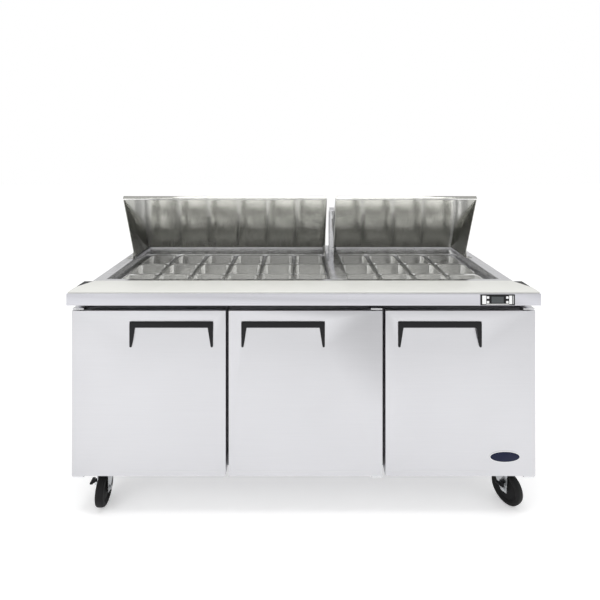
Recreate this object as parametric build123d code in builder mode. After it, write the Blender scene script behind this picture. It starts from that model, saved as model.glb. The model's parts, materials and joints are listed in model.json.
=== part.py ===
from build123d import *
import math
import os

os.makedirs("parts", exist_ok=True)

# Refrigerated sandwich prep table: three doors, two hood lids, thirty food pans, four casters.
# X runs along the front, the front faces -Y, Z is up and the floor is Z = 0.
# Lengths are millimetres. "Distance back" means distance behind the face of the front apron.

# ---- driving dimensions ----
WIDTH = 1847
DEPTH = 864
FRONT = -DEPTH / 2
SHEET = 2

CASE_HALF = 916
CASE_FLOOR = 155
CASE_TOP = 829
CASE_BACK = 860
FACE_BACK = 90
FACE_PLATE = 4

LINER_HALF = 864
LINER_FLOOR = 205
LINER_BACK = 640
LINER_SHEET = 1.5
LEDGE_HEIGHT = 690
WELL_BACK = 800
DIVIDER_BACK = 690
MACHINE_TOP = 640

DOOR_BOTTOM = 158
DOOR_TOP = 811
DOOR_FRONT = 28
DOOR_THICK = 50
GASKET_THICK = 12
GASKET_INSET = 20
HINGE_INSET = 15
HINGE_PIN_RADIUS = 5
HINGE_PIN_DEPTH = 10
DOOR_SPANS = {"left": (-916, -308), "middle": (-296, 312), "right": (324, 916)}
HINGE_SIDES = {"left": -1, "middle": 1, "right": 1}
MULLIONS = (-302, 318)
MULLION_WIDTH = 50

HANDLE_WIDTH = 330
HANDLE_LOW = 667
HANDLE_HIGH = 769
HANDLE_EDGE_GAP = 50
HANDLE_BAR = 24.5
HANDLE_DEPTH = 25
HANDLE_PROUD = 3

APRON_LOW = 842
APRON_LIP = 889
TRAY_TOP = 883
TRAY_BACK = 146
BOARD_THICK = 12
BOARD_FRONT = 4
BOARD_BACK = 140
BOARD_CUT_WIDE = 44
BOARD_CUT_DEEP = 85

TOP_LEVEL = 867
RECESS_HALF = 872
RECESS_FRONT = 247
RECESS_BACK = 840
RECESS_FLOOR = 831
RIM_TOP = 833
PAN_PITCH_WIDE = 163
PAN_PITCH_DEEP = 176
PAN_RIM = (154, 174)
PAN_BODY = (138, 158)
PAN_DEPTH = 100
PAN_SHEET = 1.5
PAN_TAPER = 5
PAN_FRONT = 250
LEFT_BANK = (-856, 6)
RIGHT_BANK = (204, 4)
PAN_ROWS = 3
BRIDGE = (124, 200)
DUCT_FRONT = 782
DUCT_BACK = 838

LID_PIVOT = (602, 884)
LID_TIP = (450, 1210)
LID_TAIL = (820, 872)
LID_HEEL = (592, 874)
LID_PANEL = 14
LID_FLANGE = 3
LID_SPANS = {"left": (-878, 122), "right": (165, 857)}
LID_PIN_RADIUS = 4
HOOD_TOP = 1100
HOOD_FRONT = 676
HOOD_GAP = 3

CONTROL_X = 754
CONTROL_Z = 865
CONTROL_SIZE = (134, 42)
BUTTON_SIZE = 9
BUTTON_PLACES = {"up": (-38, 9), "down": (-38, -9), "set": (37, 9), "light": (37, -9)}

CASTER_X = 817
CASTER_FRONT = 128
CASTER_REAR = 782
WHEEL_RADIUS = 63.5
WHEEL_WIDTH = 32
TRAIL = 38
CASTERS = {
    "front_left": (-CASTER_X, CASTER_FRONT, 3, True),
    "front_right": (CASTER_X, CASTER_FRONT, 30, True),
    "rear_left": (-CASTER_X, CASTER_REAR, 0, False),
    "rear_right": (CASTER_X, CASTER_REAR, 0, False),
}

SHELF_HEIGHT = 448
RUNNING_GAP = 0.05


def back(distance):
    """Row Y of a place this far behind the apron face."""
    return FRONT + distance


def block(xs, ds, zs, mode=Mode.ADD):
    """Box between two X values, two distances back and two heights."""
    centre = ((xs[0] + xs[1]) / 2, back((ds[0] + ds[1]) / 2), (zs[0] + zs[1]) / 2)
    with Locations(centre):
        Box(xs[1] - xs[0], ds[1] - ds[0], zs[1] - zs[0], mode=mode)


def side_profile(points, xs, mode=Mode.ADD):
    """Prism along X whose outline is given as (distance back, height) points."""
    with BuildSketch(Plane.YZ.offset(xs[0])) as outline:
        with BuildLine():
            Polyline(*[(back(d), z) for d, z in points], close=True)
        make_face()
    extrude(outline.sketch, amount=xs[1] - xs[0], mode=mode)


def rod_x(xs, d, z, radius, mode=Mode.ADD):
    """Round bar along X."""
    with Locations(((xs[0] + xs[1]) / 2, back(d), z)):
        Cylinder(radius, xs[1] - xs[0], rotation=(0, 90, 0), mode=mode)


def rod_y(x, ds, z, radius, mode=Mode.ADD):
    """Round bar along Y."""
    with Locations((x, back((ds[0] + ds[1]) / 2), z)):
        Cylinder(radius, ds[1] - ds[0], rotation=(90, 0, 0), mode=mode)


def rod_z(x, d, zs, radius, mode=Mode.ADD):
    """Round bar along Z."""
    with Locations((x, back(d), (zs[0] + zs[1]) / 2)):
        Cylinder(radius, zs[1] - zs[0], mode=mode)


def save(piece, name):
    piece.label = name
    export_step(piece, "parts/" + name + ".step")


# ---- cabinet shell ----
case_inner = CASE_HALF - SHEET
case_front = FACE_BACK + FACE_PLATE
back_inner = CASE_BACK - SHEET

with BuildPart() as outer_casing:
    for side in (-1, 1):
        edge = sorted((side * CASE_HALF, side * case_inner))
        block(edge, (case_front, CASE_BACK), (CASE_FLOOR, CASE_TOP))
    block((-case_inner, case_inner), (case_front, CASE_BACK), (CASE_FLOOR, CASE_FLOOR + SHEET))
    block((-case_inner, case_inner), (back_inner, CASE_BACK), (MACHINE_TOP, CASE_TOP))
    block((-case_inner, case_inner), (DIVIDER_BACK, CASE_BACK), (MACHINE_TOP - SHEET, MACHINE_TOP))
    block((-case_inner, case_inner), (DIVIDER_BACK, DIVIDER_BACK + SHEET), (CASE_FLOOR + SHEET, MACHINE_TOP))
save(outer_casing.part, "outer_casing")

liner_outer = LINER_HALF + LINER_SHEET
with BuildPart() as foam_insulation:
    block((-case_inner, case_inner), (case_front, back_inner), (CASE_FLOOR + SHEET, CASE_TOP))
    block(
        (-liner_outer, liner_outer),
        (case_front, LINER_BACK + LINER_SHEET),
        (LINER_FLOOR - LINER_SHEET, CASE_TOP),
        Mode.SUBTRACT,
    )
    block(
        (-liner_outer, liner_outer),
        (LINER_BACK, WELL_BACK + LINER_SHEET),
        (LEDGE_HEIGHT - LINER_SHEET, CASE_TOP),
        Mode.SUBTRACT,
    )
    block((-case_inner, case_inner), (DIVIDER_BACK, back_inner), (CASE_FLOOR, MACHINE_TOP), Mode.SUBTRACT)
save(foam_insulation.part, "foam_insulation")

with BuildPart() as inner_liner:
    block(
        (-liner_outer, liner_outer),
        (case_front, LINER_BACK + LINER_SHEET),
        (LINER_FLOOR - LINER_SHEET, CASE_TOP),
    )
    block(
        (-liner_outer, liner_outer),
        (LINER_BACK, WELL_BACK + LINER_SHEET),
        (LEDGE_HEIGHT - LINER_SHEET, CASE_TOP),
    )
    block((-LINER_HALF, LINER_HALF), (case_front, LINER_BACK), (LINER_FLOOR, CASE_TOP), Mode.SUBTRACT)
    block((-LINER_HALF, LINER_HALF), (LINER_BACK, WELL_BACK), (LEDGE_HEIGHT, CASE_TOP), Mode.SUBTRACT)
save(inner_liner.part, "inner_liner")

frame_lip = 45
with BuildPart() as front_frame:
    block((-CASE_HALF, CASE_HALF), (FACE_BACK, case_front), (CASE_FLOOR, CASE_TOP))
    for span in DOOR_SPANS.values():
        opening = (span[0] + frame_lip, span[1] - frame_lip)
        block(opening, (FACE_BACK, case_front), (LINER_FLOOR, DOOR_TOP - frame_lip), Mode.SUBTRACT)
    for x in MULLIONS:
        post = (x - MULLION_WIDTH / 2, x + MULLION_WIDTH / 2)
        block(post, (case_front, case_front + 40), (LINER_FLOOR, DOOR_TOP - frame_lip))
save(front_frame.part, "front_frame")

# ---- worktop, apron and pan rail ----
half = WIDTH / 2
rim_over = 6.5
side_gap = (PAN_PITCH_WIDE - PAN_RIM[0]) / 2


def bank_opening(bank):
    """X range of the hole under a bank of pans, a little inside the outer rims."""
    start, columns = bank
    end = start + columns * PAN_PITCH_WIDE
    return (start + side_gap + rim_over, end - side_gap - rim_over)


pan_back = PAN_FRONT + PAN_ROWS * PAN_PITCH_DEEP
hole_deep = (PAN_FRONT + rim_over, pan_back - rim_over)

with BuildPart() as worktop:
    block((-half, half), (TRAY_BACK, DEPTH), (TOP_LEVEL - SHEET, TOP_LEVEL))
    for side in (-1, 1):
        skirt = sorted((side * half, side * (half - SHEET)))
        block(skirt, (TRAY_BACK, DEPTH), (APRON_LOW, TOP_LEVEL - SHEET))
    block((-half, half), (DEPTH - SHEET, DEPTH), (APRON_LOW, TOP_LEVEL - SHEET))
    block(
        (-RECESS_HALF - SHEET, RECESS_HALF + SHEET),
        (RECESS_FRONT - SHEET, RECESS_BACK + SHEET),
        (RECESS_FLOOR - SHEET, TOP_LEVEL - SHEET),
    )
    block((-RECESS_HALF, RECESS_HALF), (RECESS_FRONT, RECESS_BACK), (RECESS_FLOOR, TOP_LEVEL), Mode.SUBTRACT)
    for bank in (LEFT_BANK, RIGHT_BANK):
        block(bank_opening(bank), hole_deep, (RECESS_FLOOR - SHEET, RECESS_FLOOR), Mode.SUBTRACT)
save(worktop.part, "worktop")

with BuildPart() as front_apron:
    block((-half, half), (0, SHEET), (APRON_LOW, APRON_LIP))
    block((-half, half), (SHEET, TRAY_BACK), (TRAY_TOP - SHEET, TRAY_TOP))
    block((-half, half), (SHEET, FACE_BACK - SHEET), (APRON_LOW, APRON_LOW + SHEET))
    block((-half, half), (TRAY_BACK - SHEET, TRAY_BACK), (TOP_LEVEL - 10, TRAY_TOP - SHEET))
    for side in (-1, 1):
        cheek = sorted((side * half, side * (half - SHEET)))
        block(cheek, (SHEET, TRAY_BACK), (APRON_LOW, TRAY_TOP - SHEET))
    with BuildSketch(Plane.XZ.offset(-FRONT)):
        with Locations((CONTROL_X, CONTROL_Z)):
            Rectangle(CONTROL_SIZE[0] - 12, CONTROL_SIZE[1] - 10)
    extrude(amount=-SHEET, mode=Mode.SUBTRACT)
save(front_apron.part, "front_apron")

with BuildPart() as centre_bridge:
    block(BRIDGE, (RECESS_FRONT, RECESS_BACK), (RECESS_FLOOR, TOP_LEVEL))
    block(
        (BRIDGE[0] + SHEET, BRIDGE[1] - SHEET),
        (RECESS_FRONT, RECESS_BACK),
        (RECESS_FLOOR, TOP_LEVEL - SHEET),
        Mode.SUBTRACT,
    )
save(centre_bridge.part, "centre_bridge")

bar_width = PAN_PITCH_WIDE - PAN_RIM[0] + 12
bar_height = 14
with BuildPart() as pan_bars:
    for start, columns in (LEFT_BANK, RIGHT_BANK):
        for column in range(1, columns):
            x = start + column * PAN_PITCH_WIDE
            bar = (x - bar_width / 2, x + bar_width / 2)
            block(bar, hole_deep, (RECESS_FLOOR - bar_height, RECESS_FLOOR))
            groove = (x - bar_width / 2 + 3, x + bar_width / 2 - 3)
            block(groove, hole_deep, (RECESS_FLOOR - bar_height, RECESS_FLOOR - 3), Mode.SUBTRACT)
save(pan_bars.part, "pan_bars")

duct_low = RECESS_FLOOR + 7
duct_high = RECESS_FLOOR + 19
duct_ridge = DUCT_FRONT + 40
slot_pitch = 68
slot_length = 45
slot_height = 8
with BuildPart() as air_duct:
    for xs in ((-RECESS_HALF, BRIDGE[0]), (BRIDGE[1], RECESS_HALF)):
        outline = [
            (DUCT_FRONT, RECESS_FLOOR),
            (DUCT_FRONT, duct_low),
            (duct_ridge, duct_high),
            (DUCT_BACK, duct_high),
            (DUCT_BACK, RECESS_FLOOR),
        ]
        hollow = [
            (DUCT_FRONT + SHEET, RECESS_FLOOR),
            (DUCT_FRONT + SHEET, duct_low - 0.5),
            (duct_ridge, duct_high - SHEET),
            (DUCT_BACK - SHEET, duct_high - SHEET),
            (DUCT_BACK - SHEET, RECESS_FLOOR),
        ]
        side_profile(outline, xs)
        side_profile(hollow, (xs[0] + SHEET, xs[1] - SHEET), Mode.SUBTRACT)
        count = int((xs[1] - xs[0] - 60) // slot_pitch)
        middle = (xs[0] + xs[1]) / 2
        for row in (DUCT_FRONT + 12, DUCT_FRONT + 30):
            with Locations((middle, back(row), duct_high)):
                with GridLocations(slot_pitch, 1, count, 1):
                    Box(slot_length, slot_height, 40, mode=Mode.SUBTRACT)
save(air_duct.part, "air_duct")

# ---- cutting board and its corner brackets ----
board_half = half - SHEET - 1
with BuildPart() as cutting_board:
    with BuildSketch(Plane.XY.offset(TRAY_TOP)):
        with BuildLine():
            Polyline(
                (-board_half, back(BOARD_FRONT)),
                (board_half, back(BOARD_FRONT)),
                (board_half, back(BOARD_BACK - BOARD_CUT_DEEP)),
                (board_half - BOARD_CUT_WIDE, back(BOARD_BACK)),
                (BOARD_CUT_WIDE - board_half, back(BOARD_BACK)),
                (-board_half, back(BOARD_BACK - BOARD_CUT_DEEP)),
                close=True,
            )
        make_face()
    extrude(amount=BOARD_THICK)
    chamfer(cutting_board.faces().sort_by(Axis.Z)[-1].edges(), 1.5)
save(cutting_board.part, "cutting_board")

with BuildPart() as board_brackets:
    for side in (-1, 1):
        with BuildSketch(Plane.XY.offset(TRAY_TOP)):
            with BuildLine():
                Polyline(
                    (side * board_half, back(BOARD_BACK - BOARD_CUT_DEEP + 5)),
                    (side * board_half, back(BOARD_BACK)),
                    (side * (board_half - BOARD_CUT_WIDE + 2.6), back(BOARD_BACK)),
                    close=True,
                )
            make_face()
        extrude(amount=BOARD_THICK - 3)
save(board_brackets.part, "board_brackets")

# ---- food pans ----
with BuildPart() as food_pan:
    with BuildSketch(Plane.XY.offset(RIM_TOP)):
        RectangleRounded(PAN_RIM[0], PAN_RIM[1], 10)
    extrude(amount=-SHEET)
    with BuildSketch(Plane.XY.offset(RIM_TOP)):
        RectangleRounded(PAN_BODY[0], PAN_BODY[1], 18)
    extrude(amount=-PAN_DEPTH, taper=PAN_TAPER)
    with BuildSketch(Plane.XY.offset(RIM_TOP)):
        RectangleRounded(PAN_BODY[0] - 2 * PAN_SHEET, PAN_BODY[1] - 2 * PAN_SHEET, 18 - PAN_SHEET)
    extrude(amount=PAN_SHEET - PAN_DEPTH, taper=PAN_TAPER, mode=Mode.SUBTRACT)


def bank_centre(bank):
    """Middle of a bank of pans."""
    start, columns = bank
    return (start + columns * PAN_PITCH_WIDE / 2, back(PAN_FRONT + PAN_ROWS * PAN_PITCH_DEEP / 2), 0)


for name, bank in (("food_pans_left", LEFT_BANK), ("food_pans_right", RIGHT_BANK)):
    with BuildPart() as pans:
        with Locations(bank_centre(bank)):
            with GridLocations(PAN_PITCH_WIDE, PAN_PITCH_DEEP, bank[1], PAN_ROWS):
                add(food_pan.part)
    save(pans.part, name)

# ---- hood lids ----
slope = math.atan2(LID_TIP[1] - LID_TAIL[1], LID_TAIL[0] - LID_TIP[0])
panel_low = (LID_TAIL[0] - LID_PANEL / math.sin(slope), LID_TAIL[1])
panel_high = (LID_TIP[0] - LID_PANEL * math.sin(slope), LID_TIP[1] - LID_PANEL * math.cos(slope))

for name, span in LID_SPANS.items():
    with BuildPart() as lid:
        side_profile([LID_TIP, LID_TAIL, panel_low, panel_high], span)
        for ends in ((span[0], span[0] + LID_FLANGE), (span[1] - LID_FLANGE, span[1])):
            side_profile([LID_TIP, LID_TAIL, LID_HEEL, panel_high], ends)
            rod_x(ends, LID_PIVOT[0], LID_PIVOT[1], LID_PIVOT[1] - LID_TAIL[1])
        rod_x(span, LID_PIVOT[0], LID_PIVOT[1], LID_PIN_RADIUS + RUNNING_GAP, Mode.SUBTRACT)
    save(lid.part, "lid_" + name)

# ---- fixed rear hoods, lid pivots and the post between the lids ----
hood_rear = DEPTH - 6
with BuildPart() as rear_hoods:
    for span in LID_SPANS.values():
        outer = (span[0] - HOOD_GAP - SHEET, span[1] + HOOD_GAP + SHEET)
        shell = [
            (hood_rear, TOP_LEVEL),
            (hood_rear, 1000),
            (hood_rear - 58, HOOD_TOP),
            (HOOD_FRONT, HOOD_TOP),
            (HOOD_FRONT, HOOD_TOP - SHEET),
            (hood_rear - 59.5, HOOD_TOP - SHEET),
            (hood_rear - SHEET, 999),
            (hood_rear - SHEET, TOP_LEVEL),
        ]
        cheek = [
            (hood_rear, TOP_LEVEL),
            (hood_rear, 1000),
            (hood_rear - 58, HOOD_TOP),
            (HOOD_FRONT, HOOD_TOP),
            (LID_PIVOT[0] + 22, TOP_LEVEL),
        ]
        side_profile(shell, outer)
        side_profile(cheek, (outer[0], outer[0] + SHEET))
        side_profile(cheek, (outer[1] - SHEET, outer[1]))
save(rear_hoods.part, "rear_hoods")

pivot_d, pivot_z = LID_PIVOT
with BuildPart() as lid_pivots:
    for face, side in ((LID_SPANS["left"][0] - HOOD_GAP, -1), (LID_SPANS["right"][1] + HOOD_GAP, 1)):
        plate = sorted((face, face + side * 4))
        pin = sorted((face - side * (HOOD_GAP + 5), face + side))
        block(plate, (pivot_d - 14, pivot_d + 14), (TOP_LEVEL, pivot_z + 12))
        foot = sorted((face, face + side * 32))
        block(foot, (pivot_d - 14, pivot_d + 14), (TOP_LEVEL, TOP_LEVEL + 3))
        rod_x(pin, pivot_d, pivot_z, LID_PIN_RADIUS)
save(lid_pivots.part, "lid_pivots")

post_xs = (139, 161)
post_ds = (520, 560)
bridge_top = TOP_LEVEL
pin_ends = (LID_SPANS["left"][1] - LID_FLANGE - 2, LID_SPANS["right"][0] + LID_FLANGE + 2)
with BuildPart() as hood_centre_post:
    block((BRIDGE[0] + 5, post_xs[1] - 3), (post_ds[0], LID_TAIL[0] - 20), (bridge_top, bridge_top + 3))
    block((pin_ends[0] + 8, post_xs[1]), (pivot_d - 12, pivot_d + 12), (bridge_top + 3, pivot_z + 10))
    block(post_xs, post_ds, (bridge_top + 3, 1125))
    block((post_xs[1] - 9, post_xs[1]), (post_ds[0], post_ds[0] + 15), (937, 1084), Mode.SUBTRACT)
    rod_x(pin_ends, pivot_d, pivot_z, LID_PIN_RADIUS)
save(hood_centre_post.part, "hood_centre_post")

# ---- doors ----
door_back = DOOR_FRONT + DOOR_THICK
hinge_back = DOOR_FRONT + HINGE_INSET


def hinge_x(name):
    """X of a door's hinge pins."""
    low, high = DOOR_SPANS[name]
    return low + HINGE_INSET if HINGE_SIDES[name] < 0 else high - HINGE_INSET


def handle_span(name):
    """X range of the recessed handle, next to the door's free edge."""
    low, high = DOOR_SPANS[name]
    if HINGE_SIDES[name] < 0:
        return (high - HANDLE_EDGE_GAP - HANDLE_WIDTH, high - HANDLE_EDGE_GAP)
    return (low + HANDLE_EDGE_GAP, low + HANDLE_EDGE_GAP + HANDLE_WIDTH)


def pin_holes(name):
    """Bushed holes for the hinge pins in the door's top and bottom edges."""
    radius = HINGE_PIN_RADIUS + RUNNING_GAP
    rod_z(hinge_x(name), hinge_back, (DOOR_TOP - HINGE_PIN_DEPTH - 2, DOOR_TOP), radius, Mode.SUBTRACT)
    rod_z(hinge_x(name), hinge_back, (DOOR_BOTTOM, DOOR_BOTTOM + HINGE_PIN_DEPTH + 2), radius, Mode.SUBTRACT)


def scoop(xs, grow, mode):
    """Wedge of the finger recess, flush at its foot and deepest under the handle bar."""
    outline = [
        (DOOR_FRONT, HANDLE_LOW - grow),
        (DOOR_FRONT + HANDLE_DEPTH + grow, HANDLE_HIGH + grow),
        (DOOR_FRONT, HANDLE_HIGH + grow),
    ]
    side_profile(outline, (xs[0] - grow, xs[1] + grow), mode)


for name, span in DOOR_SPANS.items():
    grip = handle_span(name)
    inside = (span[0] + SHEET, span[1] - SHEET)
    heights = (DOOR_BOTTOM + SHEET, DOOR_TOP - SHEET)
    with BuildPart() as door_skin:
        block(span, (DOOR_FRONT, door_back), (DOOR_BOTTOM, DOOR_TOP))
        block(inside, (DOOR_FRONT + SHEET, door_back), heights, Mode.SUBTRACT)
        scoop(grip, SHEET, Mode.ADD)
        scoop(grip, 0, Mode.SUBTRACT)
        pin_holes(name)
    save(door_skin.part, "door_skin_" + name)

    with BuildPart() as door_core:
        block(inside, (DOOR_FRONT + SHEET, door_back), heights)
        scoop(grip, SHEET, Mode.SUBTRACT)
        pin_holes(name)
    save(door_core.part, "door_core_" + name)

    outer_x = (span[0] + GASKET_INSET, span[1] - GASKET_INSET)
    outer_z = (DOOR_BOTTOM + 24, DOOR_TOP - GASKET_INSET)
    band = 22
    with BuildPart() as door_gasket:
        block(outer_x, (door_back, door_back + GASKET_THICK), outer_z)
        block(
            (outer_x[0] + band, outer_x[1] - band),
            (door_back, door_back + GASKET_THICK),
            (outer_z[0] + band, outer_z[1] - band),
            Mode.SUBTRACT,
        )
    save(door_gasket.part, "door_gasket_" + name)

    proud = DOOR_FRONT - HANDLE_PROUD
    bar_low = HANDLE_HIGH - HANDLE_BAR
    bar_floor = DOOR_FRONT + HANDLE_DEPTH * (bar_low - HANDLE_LOW) / (HANDLE_HIGH - HANDLE_LOW)
    with BuildPart() as door_handle:
        side_profile(
            [
                (proud, bar_low),
                (DOOR_FRONT + 6, bar_low),
                (DOOR_FRONT + 6, HANDLE_HIGH - 8),
                (DOOR_FRONT + HANDLE_DEPTH - 2.4, HANDLE_HIGH - 8),
                (DOOR_FRONT + HANDLE_DEPTH - 0.4, HANDLE_HIGH),
                (proud + 1, HANDLE_HIGH),
                (proud, HANDLE_HIGH - 2),
            ],
            grip,
        )
        for end, toward in ((grip[0], 1), (grip[1], -1)):
            with BuildSketch(Plane.XZ.offset(-back(DOOR_FRONT))):
                with BuildLine():
                    Polyline(
                        (end, bar_low + 1),
                        (end, HANDLE_LOW),
                        (end + toward * 9, HANDLE_LOW),
                        (end + toward * 20, bar_low + 1),
                        close=True,
                    )
                make_face()
            extrude(amount=HANDLE_PROUD)
    save(door_handle.part, "door_handle_" + name)

with BuildPart() as door_badge:
    with BuildSketch(Plane.XZ.offset(-back(DOOR_FRONT))):
        with Locations((795, 235)):
            Ellipse(60, 22)
    extrude(amount=2.5)
save(door_badge.part, "door_badge")

bracket_width = 45
with BuildPart() as door_hinge_brackets:
    for name in DOOR_SPANS:
        x = hinge_x(name)
        side = HINGE_SIDES[name]
        xs = sorted((x + side * HINGE_INSET, x + side * (HINGE_INSET - bracket_width)))
        block(xs, (hinge_back - 11, FACE_BACK), (DOOR_TOP + 3, DOOR_TOP + 8))
        block(xs, (FACE_BACK - 5, FACE_BACK), (DOOR_TOP + 8, CASE_TOP))
        rod_z(x, hinge_back, (DOOR_TOP - HINGE_PIN_DEPTH, DOOR_TOP + 3), HINGE_PIN_RADIUS)
        block(xs, (hinge_back - 11, FACE_BACK + 50), (CASE_FLOOR - 6, CASE_FLOOR))
        rod_z(x, hinge_back, (CASE_FLOOR, DOOR_BOTTOM + HINGE_PIN_DEPTH), HINGE_PIN_RADIUS)
save(door_hinge_brackets.part, "door_hinge_brackets")

# ---- temperature controller ----
control_xs = (CONTROL_X - CONTROL_SIZE[0] / 2, CONTROL_X + CONTROL_SIZE[0] / 2)
control_zs = (CONTROL_Z - CONTROL_SIZE[1] / 2, CONTROL_Z + CONTROL_SIZE[1] / 2)
window_xs = (730, 777)
window_zs = (CONTROL_Z - 12, CONTROL_Z + 12)
button_front = -2.5
with BuildPart() as controller_body:
    block(control_xs, (-1.5, 0), control_zs)
    block((control_xs[0] + 7, control_xs[1] - 7), (0, 60), (control_zs[0] + 6, control_zs[1] - 6))
    block(window_xs, (-1.5, 2), window_zs, Mode.SUBTRACT)
    for dx, dz in BUTTON_PLACES.values():
        with Locations((CONTROL_X + dx, back(2), CONTROL_Z + dz)):
            Box(BUTTON_SIZE + 0.6, 8, BUTTON_SIZE + 0.6, mode=Mode.SUBTRACT)
save(controller_body.part, "controller_body")

with BuildPart() as controller_window:
    block(window_xs, (-1.2, 2), window_zs)
save(controller_window.part, "controller_window")

for name, (dx, dz) in BUTTON_PLACES.items():
    with BuildPart() as button:
        x = CONTROL_X + dx
        z = CONTROL_Z + dz
        size = BUTTON_SIZE / 2
        block((x - size, x + size), (button_front, 4), (z - size, z + size))
    save(button.part, "button_" + name)

# ---- casters ----
race_low = 143
fork_top = race_low - 0.3
fork_plate = 131
leg_inner = WHEEL_WIDTH / 2 + 3
leg_outer = leg_inner + 3
with BuildPart() as caster_plates:
    for x, d, turn, braked in CASTERS.values():
        block((x - 45, x + 45), (d - 50, d + 50), (CASE_FLOOR - 4, CASE_FLOOR))
        rod_z(x, d, (race_low, CASE_FLOOR - 4), 28)
        rod_z(x, d, (fork_plate - 6, race_low), 6)
save(caster_plates.part, "caster_plates")

axle_height = WHEEL_RADIUS
brake_height = axle_height + 27
for name, (x, d, turn, braked) in CASTERS.items():
    swivel = Axis((x, back(d), 0), (0, 0, 1))
    axle_d = d - TRAIL
    with BuildPart() as fork:
        rod_z(x, d, (fork_plate, fork_top), 30)
        block((x - leg_outer, x + leg_outer), (axle_d - 16, d + 24), (fork_plate, fork_plate + 4))
        for side in (-1, 1):
            leg = [
                (d + 24, fork_plate),
                (axle_d + 12, axle_height - 12),
                (axle_d - 12, axle_height - 12),
                (axle_d - 16, fork_plate),
            ]
            side_profile(leg, sorted((x + side * leg_inner, x + side * leg_outer)))
        rod_x((x - leg_inner, x + leg_inner), axle_d, axle_height, 5)
        rod_z(x, d, (fork_plate - 8, fork_top), 6 + RUNNING_GAP, Mode.SUBTRACT)
        if braked:
            for ear in (axle_d - 13, axle_d + 10):
                block((x - leg_outer - 11, x - leg_outer), (ear, ear + 3), (brake_height - 5, brake_height + 5))
            rod_y(x - leg_outer - 6, (axle_d - 13, axle_d + 13), brake_height, 2)
    save(fork.part.rotate(swivel, turn), "caster_fork_" + name)

    with BuildPart() as wheel:
        rod_x((x - WHEEL_WIDTH / 2, x + WHEEL_WIDTH / 2), axle_d, axle_height, WHEEL_RADIUS)
        fillet(wheel.edges().filter_by(GeomType.CIRCLE), 7)
        hub = WHEEL_WIDTH / 2 + 2.5
        rod_x((x - hub, x + hub), axle_d, axle_height, 14)
        rod_x((x - hub, x + hub), axle_d, axle_height, 5 + RUNNING_GAP, Mode.SUBTRACT)
    save(wheel.part.rotate(swivel, turn), "caster_wheel_" + name)

    if braked:
        barrel = x - leg_outer - 6
        with BuildPart() as lever:
            rod_y(barrel, (axle_d - 9.5, axle_d + 9.5), brake_height, 5)
            block((barrel - 12, barrel), (axle_d - 9.5, axle_d + 9.5), (brake_height - 1, brake_height + 5))
            block((barrel - 24, barrel - 12), (axle_d - 16, axle_d + 16), (brake_height - 1, brake_height + 5))
            rod_y(barrel, (axle_d - 12, axle_d + 12), brake_height, 2 + RUNNING_GAP, Mode.SUBTRACT)
        save(lever.part.rotate(swivel, turn), "brake_lever_" + name)

# ---- refrigeration machine behind the divider ----
compressor_place = (-330, 772)
fan_place = (250, 762, 330)
compressor_x, compressor_d = compressor_place
fan_x, fan_d, fan_z = fan_place
machine_floor = CASE_FLOOR + SHEET
with BuildPart() as compressor:
    rod_z(compressor_x, compressor_d, (machine_floor + 18, machine_floor + 190), 68)
    fillet(compressor.faces().sort_by(Axis.Z)[-1].edges(), 40)
    block(
        (compressor_x - 85, compressor_x + 85),
        (compressor_d - 60, compressor_d + 60),
        (machine_floor + 14, machine_floor + 18),
    )
    for dx in (-75, 75):
        for dd in (-48, 48):
            rod_z(compressor_x + dx, compressor_d + dd, (machine_floor, machine_floor + 14), 9)
save(compressor.part, "compressor")

with BuildPart() as condenser_coil:
    block((fan_x - 150, fan_x + 150), (806, 852), (machine_floor, fan_z + 150))
    fin_gap = 4
    with Locations((fan_x, back(809), fan_z)):
        with GridLocations(12, 1, 22, 1):
            Box(fin_gap, 8, 250, mode=Mode.SUBTRACT)
save(condenser_coil.part, "condenser_coil")

with BuildPart() as fan_shroud:
    block((fan_x - 150, fan_x + 150), (776, 779), (machine_floor, fan_z + 150))
    for x in (fan_x - 150, fan_x + 147):
        block((x, x + 3), (779, 806), (machine_floor, fan_z + 150))
    rod_y(fan_x, (760, 779), fan_z, 122)
    rod_y(fan_x, (755, 785), fan_z, 118, Mode.SUBTRACT)
    block((fan_x - 150, fan_x + 150), (726, 730), (fan_z - 12, fan_z + 12))
    for x in (fan_x - 150, fan_x + 146):
        block((x, x + 4), (726, 779), (fan_z - 12, fan_z + 12))
    rod_y(fan_x, (700, 740), fan_z, 34)
    rod_y(fan_x, (740, 772), fan_z, 5)
save(fan_shroud.part, "fan_shroud")


def fan_blades(name, centre, reach, hub, depth, blades, bore):
    """Axial fan: a hub on its shaft with flat pitched blades."""
    x, d, z = centre
    with BuildPart() as fan:
        rod_y(x, (d - depth / 2, d + depth / 2), z, hub)
        for number in range(blades):
            angle = 360 / blades * number
            arm = (hub + reach) / 2
            offset = Vector(arm * math.cos(math.radians(angle)), 0, arm * math.sin(math.radians(angle)))
            with Locations(Location((x + offset.X, back(d), z + offset.Z), (0, -angle, 0))):
                Box(reach - hub + 4, 2, hub * 1.5, rotation=(28, 0, 0))
        rod_y(x, (d - depth, d + depth), z, bore + RUNNING_GAP, Mode.SUBTRACT)
    save(fan.part, name)


fan_blades("condenser_fan", (fan_x, 758, fan_z), 108, 24, 22, 5, 5)

grille_low = CASE_FLOOR + 8
grille_high = MACHINE_TOP - 4
with BuildPart() as rear_grille:
    block((-CASE_HALF, CASE_HALF), (CASE_BACK, CASE_BACK + SHEET), (grille_low, grille_high))
    for x in (-420, 420):
        with Locations((x, back(CASE_BACK + 1), (grille_low + grille_high) / 2)):
            with GridLocations(210, 30, 3, 12):
                Box(180, 10, 8, mode=Mode.SUBTRACT)
save(rear_grille.part, "rear_grille")

with BuildPart() as cord_gland:
    rod_y(-780, (CASE_BACK + SHEET, DEPTH), 215, 16)
    rod_y(-780, (CASE_BACK - 8, DEPTH), 215, 5, Mode.SUBTRACT)
save(cord_gland.part, "cord_gland")

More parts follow.
